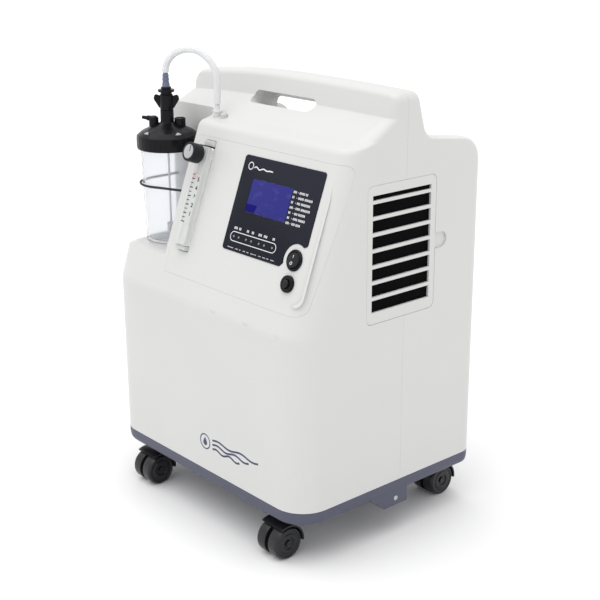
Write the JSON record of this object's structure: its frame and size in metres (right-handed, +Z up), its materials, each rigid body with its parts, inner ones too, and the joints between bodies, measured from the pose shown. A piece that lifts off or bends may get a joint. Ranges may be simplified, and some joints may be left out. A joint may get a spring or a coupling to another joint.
{
  "type": "oxygen concentrator",
  "caption": "Stationary oxygen concentrator: white cabinet on casters with a sloped control panel, flowmeter, humidifier bottle and louvred intake door.",
  "frame": {"origin": "centre of the footprint on the floor, under the middle of the cabinet", "axes": "+Z up, -Y out of the control panel's side, +X out of the intake door's side"},
  "size_m": [0.38, 0.3061, 0.5824],
  "materials": {
    "white_shell": "satin",
    "grey_base": "satin",
    "black_plastic": "satin",
    "caster_black": "satin",
    "overlay_film": "satin",
    "lcd_blue": "polished",
    "clear_acrylic": "polished",
    "jar_clear": "satin",
    "tube_clear": "satin",
    "adapter_blue": "satin",
    "strap_rubber": "matte",
    "filter_foam": "matte",
    "zinc_steel": "satin",
    "cast_aluminium": "matte",
    "motor_lacquer": "satin",
    "isolator_rubber": "matte",
    "bed_aluminium": "satin",
    "board_green": "satin",
    "copper_tube": "satin"
  },
  "bodies": {
    "cabinet": {"base_tray": "grey_base", "front_shell": "white_shell", "rear_shell": "white_shell", "fascia_panel": "white_shell", "control_label": "overlay_film", "lcd_window": "lcd_blue", "switch_bezel": "black_plastic", "breaker_body": "black_plastic", "flowmeter_block": "clear_acrylic", "bottle_strap": "strap_rubber", "outlet_fitting": "clear_acrylic", "power_inlet": "black_plastic", "caster_stem_front_left": "zinc_steel", "caster_stem_front_right": "zinc_steel", "caster_stem_rear_left": "zinc_steel", "caster_stem_rear_right": "zinc_steel", "compressor_motor": "motor_lacquer", "crankcase_left": "cast_aluminium", "crankcase_right": "cast_aluminium", "cylinder_head_left": "cast_aluminium", "cylinder_head_right": "cast_aluminium", "isolator_front_left": "isolator_rubber", "isolator_front_right": "isolator_rubber", "isolator_rear_left": "isolator_rubber", "isolator_rear_right": "isolator_rubber", "mid_deck": "grey_base", "cooling_fan_frame": "black_plastic", "heat_exchanger_coil": "copper_tube", "sieve_bed_1": "bed_aluminium", "sieve_bed_2": "bed_aluminium", "product_tank": "bed_aluminium", "valve_manifold": "cast_aluminium", "intake_silencer": "black_plastic", "control_board": "board_green"},
    "rocker": {"switch_rocker": "black_plastic"},
    "reset_button": {"breaker_button": "black_plastic"},
    "float_ball": {"flow_float": "black_plastic"},
    "knob": {"flow_knob": "black_plastic"},
    "bottle": {"humidifier_lid": "black_plastic", "inlet_adapter": "adapter_blue", "bubble_tube": "jar_clear", "oxygen_tube": "tube_clear"},
    "jar": {"humidifier_jar": "jar_clear"},
    "wing_nut": {"inlet_wing_nut": "black_plastic"},
    "intake_door": {"filter_door": "white_shell", "cabinet_filter": "filter_foam"},
    "cabinet_fan": {"cooling_fan_rotor": "black_plastic"},
    "motor_fan": {"compressor_fan": "black_plastic"},
    "caster_front_left": {"caster_hood_front_left": "caster_black"},
    "wheel_front_left_left": {"caster_wheel_front_left_left": "caster_black"},
    "wheel_front_left_right": {"caster_wheel_front_left_right": "caster_black"},
    "caster_front_right": {"caster_hood_front_right": "caster_black"},
    "wheel_front_right_left": {"caster_wheel_front_right_left": "caster_black"},
    "wheel_front_right_right": {"caster_wheel_front_right_right": "caster_black"},
    "caster_rear_left": {"caster_hood_rear_left": "caster_black"},
    "wheel_rear_left_left": {"caster_wheel_rear_left_left": "caster_black"},
    "wheel_rear_left_right": {"caster_wheel_rear_left_right": "caster_black"},
    "caster_rear_right": {"caster_hood_rear_right": "caster_black"},
    "wheel_rear_right_left": {"caster_wheel_rear_right_left": "caster_black"},
    "wheel_rear_right_right": {"caster_wheel_rear_right_right": "caster_black"}
  },
  "joints": [
    {"name": "switch_rock", "type": "hinge", "parent": "cabinet", "child": "rocker", "pos_m": [0.1479, -0.11996, 0.3708], "axis": [1, 0, 0], "range_deg": [0, 16]},
    {"name": "breaker_trip", "type": "slide", "parent": "cabinet", "child": "reset_button", "axis": [0, -0.9367, 0.3502], "range_m": [0, 0.004]},
    {"name": "flow_adjust", "type": "hinge", "parent": "cabinet", "child": "knob", "pos_m": [-0.052, -0.10071, 0.45884], "axis": [0, -0.9367, 0.3502], "range_deg": [-360, 720]},
    {"name": "float_rise", "type": "slide", "parent": "cabinet", "child": "float_ball", "axis": [0, 0.3502, 0.9367], "range_m": [-0.02, 0.07]},
    {"name": "bottle_lift", "type": "slide", "parent": "cabinet", "child": "bottle", "axis": [0, 0, 1], "range_m": [0, 0.1]},
    {"name": "jar_unscrew", "type": "hinge", "parent": "bottle", "child": "jar", "pos_m": [-0.1411, -0.0839, 0.4], "axis": [0, 0, -1], "range_deg": [0, 450]},
    {"name": "nut_turn", "type": "hinge", "parent": "bottle", "child": "wing_nut", "pos_m": [-0.1411, -0.0839, 0.515], "axis": [0, 0, 1], "range_deg": [0, 1080]},
    {"name": "door_open", "type": "hinge", "parent": "cabinet", "child": "intake_door", "pos_m": [0.19, -0.047, 0.368], "axis": [0, 0, -1], "range_deg": [0, 80]},
    {"name": "cabinet_fan_spin", "type": "hinge", "parent": "cabinet", "child": "cabinet_fan", "pos_m": [-0.045, -0.045, 0.2698], "axis": [0, 0, 1], "continuous": true},
    {"name": "motor_fan_spin", "type": "hinge", "parent": "cabinet", "child": "motor_fan", "pos_m": [-0.143, -0.045, 0.132], "axis": [1, 0, 0], "continuous": true},
    {"name": "swivel_front_left", "type": "hinge", "parent": "cabinet", "child": "caster_front_left", "pos_m": [-0.133, -0.122, 0.05], "axis": [0, 0, 1], "continuous": true},
    {"name": "roll_front_left_left", "type": "hinge", "parent": "caster_front_left", "child": "wheel_front_left_left", "pos_m": [-0.1439, -0.134, 0.02025], "axis": [1, 0, 0], "continuous": true},
    {"name": "roll_front_left_right", "type": "hinge", "parent": "caster_front_left", "child": "wheel_front_left_right", "pos_m": [-0.1221, -0.134, 0.02025], "axis": [1, 0, 0], "continuous": true},
    {"name": "swivel_front_right", "type": "hinge", "parent": "cabinet", "child": "caster_front_right", "pos_m": [0.133, -0.122, 0.05], "axis": [0, 0, 1], "continuous": true},
    {"name": "roll_front_right_left", "type": "hinge", "parent": "caster_front_right", "child": "wheel_front_right_left", "pos_m": [0.1221, -0.134, 0.02025], "axis": [1, 0, 0], "continuous": true},
    {"name": "roll_front_right_right", "type": "hinge", "parent": "caster_front_right", "child": "wheel_front_right_right", "pos_m": [0.1439, -0.134, 0.02025], "axis": [1, 0, 0], "continuous": true},
    {"name": "swivel_rear_left", "type": "hinge", "parent": "cabinet", "child": "caster_rear_left", "pos_m": [-0.14, 0.14, 0.05], "axis": [0, 0, 1], "continuous": true},
    {"name": "roll_rear_left_left", "type": "hinge", "parent": "caster_rear_left", "child": "wheel_rear_left_left", "pos_m": [-0.1509, 0.128, 0.02025], "axis": [1, 0, 0], "continuous": true},
    {"name": "roll_rear_left_right", "type": "hinge", "parent": "caster_rear_left", "child": "wheel_rear_left_right", "pos_m": [-0.1291, 0.128, 0.02025], "axis": [1, 0, 0], "continuous": true},
    {"name": "swivel_rear_right", "type": "hinge", "parent": "cabinet", "child": "caster_rear_right", "pos_m": [0.14, 0.14, 0.05], "axis": [0, 0, 1], "continuous": true},
    {"name": "roll_rear_right_left", "type": "hinge", "parent": "caster_rear_right", "child": "wheel_rear_right_left", "pos_m": [0.1291, 0.128, 0.02025], "axis": [1, 0, 0], "continuous": true},
    {"name": "roll_rear_right_right", "type": "hinge", "parent": "caster_rear_right", "child": "wheel_rear_right_right", "pos_m": [0.1509, 0.128, 0.02025], "axis": [1, 0, 0], "continuous": true}
  ]
}
